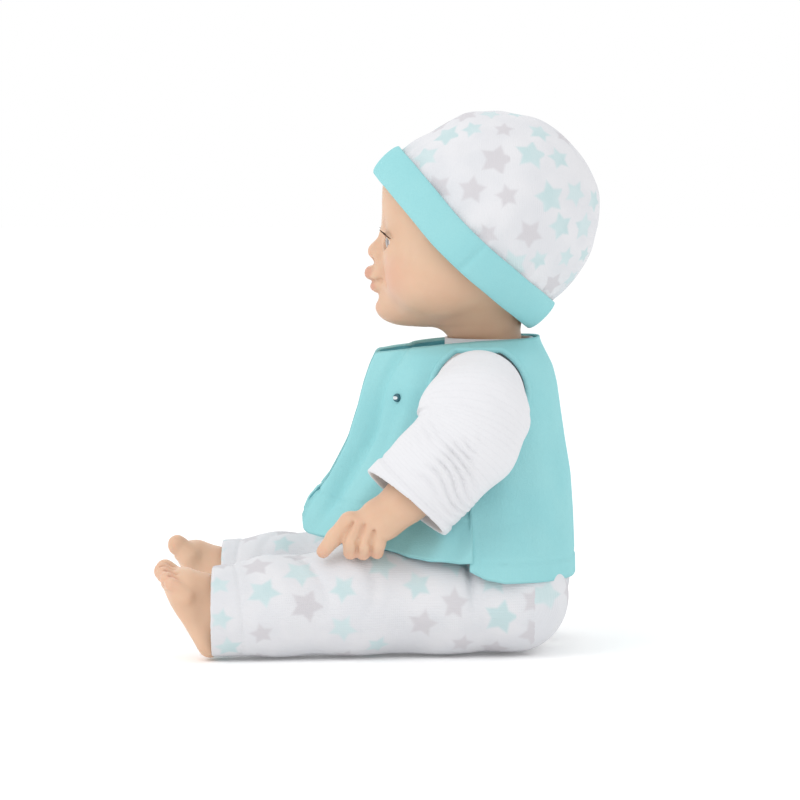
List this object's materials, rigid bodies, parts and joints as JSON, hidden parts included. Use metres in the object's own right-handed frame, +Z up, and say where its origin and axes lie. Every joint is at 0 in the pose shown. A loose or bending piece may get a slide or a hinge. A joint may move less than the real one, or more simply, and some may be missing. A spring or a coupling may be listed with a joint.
{
  "type": "baby doll",
  "caption": "Seated soft-bodied baby doll with vinyl head, arms and legs that swivel, rolling sleep eyes, a press-to-talk sound unit, and a knitted hat, vest, shirt and trousers.",
  "frame": {"origin": "middle of the flat face that the seated doll rests on, under its body", "axes": "+Z up, the doll faces -Y, and its own left side is +X"},
  "size_m": [0.1674, 0.1953, 0.2391],
  "materials": {
    "cloth_body": "soft woven cloth",
    "stuffing": "polyester fibre",
    "hard_white": "moulded, matt",
    "case": "moulded, fine texture",
    "dark_plastic": "moulded, matt",
    "steel": "plated",
    "cell_jacket": "printed sleeve",
    "board": "solder mask",
    "cone": "pressed paper",
    "skin_vinyl": "soft matt vinyl",
    "eye": "glossy",
    "lash": "fibre",
    "lead": "cast",
    "white_knit": "fine ribbed knit",
    "star_knit": "printed jersey with stars",
    "mint_fleece": "soft brushed fleece"
  },
  "bodies": {
    "torso": {"torso_skin": "cloth_body", "torso_stuffing": "stuffing", "back_closure": "stuffing", "neck_ring": "hard_white", "shoulder_ring_left": "hard_white", "shoulder_ring_right": "hard_white", "hip_ring_left": "hard_white", "hip_ring_right": "hard_white", "sound_case_front": "case", "sound_case_rear": "case", "sound_case_screws": "steel", "battery_door": "case", "battery_door_screw": "steel", "battery_cells": "cell_jacket", "battery_contacts": "steel", "circuit_board": "board", "board_components": "dark_plastic", "speaker_basket": "dark_plastic", "speaker_cone": "cone", "speaker_magnet": "steel", "shirt_body": "white_knit", "trouser_seat": "star_knit", "vest_back": "mint_fleece", "vest_front_left": "mint_fleece", "vest_front_right": "mint_fleece", "vest_snaps": "steel"},
    "tummy_button": {"tummy_button": "hard_white"},
    "power_slider": {"power_slider": "dark_plastic"},
    "head": {"head_shell": "skin_vinyl", "head_swivel": "hard_white", "eye_socket_left": "hard_white", "eye_socket_right": "hard_white"},
    "eye_left": {"eyeball_left": "eye", "eyelid_left": "skin_vinyl", "lashes_left": "lash", "eye_weight_left": "lead"},
    "eye_right": {"eyeball_right": "eye", "eyelid_right": "skin_vinyl", "lashes_right": "lash", "eye_weight_right": "lead"},
    "hat": {"hat_crown": "star_knit", "hat_band": "mint_fleece"},
    "arm_left": {"arm_left": "skin_vinyl", "shoulder_swivel_left": "hard_white", "sleeve_left": "white_knit"},
    "arm_right": {"arm_right": "skin_vinyl", "shoulder_swivel_right": "hard_white", "sleeve_right": "white_knit"},
    "leg_left": {"leg_left": "skin_vinyl", "hip_swivel_left": "hard_white", "trouser_leg_left": "star_knit"},
    "leg_right": {"leg_right": "skin_vinyl", "hip_swivel_right": "hard_white", "trouser_leg_right": "star_knit"}
  },
  "joints": [
    {"name": "neck_turn", "type": "hinge", "parent": "torso", "child": "head", "pos_m": [0, -0.014, 0.1406], "axis": [0, 0, 1], "range_deg": [-65, 65]},
    {"name": "eye_left_roll", "type": "hinge", "parent": "head", "child": "eye_left", "pos_m": [0.017, -0.052, 0.1815], "axis": [1, 0, 0], "range_deg": [0, 50]},
    {"name": "eye_right_roll", "type": "hinge", "parent": "head", "child": "eye_right", "pos_m": [-0.017, -0.052, 0.1815], "axis": [1, 0, 0], "range_deg": [0, 50]},
    {"name": "hat_lift", "type": "slide", "parent": "head", "child": "hat", "axis": [0, 0.7071, 0.7071], "range_m": [0, 0.11]},
    {"name": "shoulder_left", "type": "hinge", "parent": "torso", "child": "arm_left", "pos_m": [0.0335, -0.019, 0.115], "axis": [-1, 0, 0], "range_deg": [0, 100]},
    {"name": "shoulder_right", "type": "hinge", "parent": "torso", "child": "arm_right", "pos_m": [-0.0335, -0.019, 0.115], "axis": [-1, 0, 0], "range_deg": [0, 100]},
    {"name": "hip_left", "type": "hinge", "parent": "torso", "child": "leg_left", "pos_m": [0.015, -0.005, 0.026], "axis": [1, 0, 0], "range_deg": [0, 88]},
    {"name": "hip_right", "type": "hinge", "parent": "torso", "child": "leg_right", "pos_m": [-0.015, -0.005, 0.026], "axis": [1, 0, 0], "range_deg": [0, 88]},
    {"name": "tummy_press", "type": "slide", "parent": "torso", "child": "tummy_button", "axis": [0, 1, 0], "range_m": [0, 0.001], "stiffness_N_per_m": 600},
    {"name": "power_slide", "type": "slide", "parent": "torso", "child": "power_slider", "axis": [1, 0, 0], "range_m": [0, 0.006]}
  ]
}
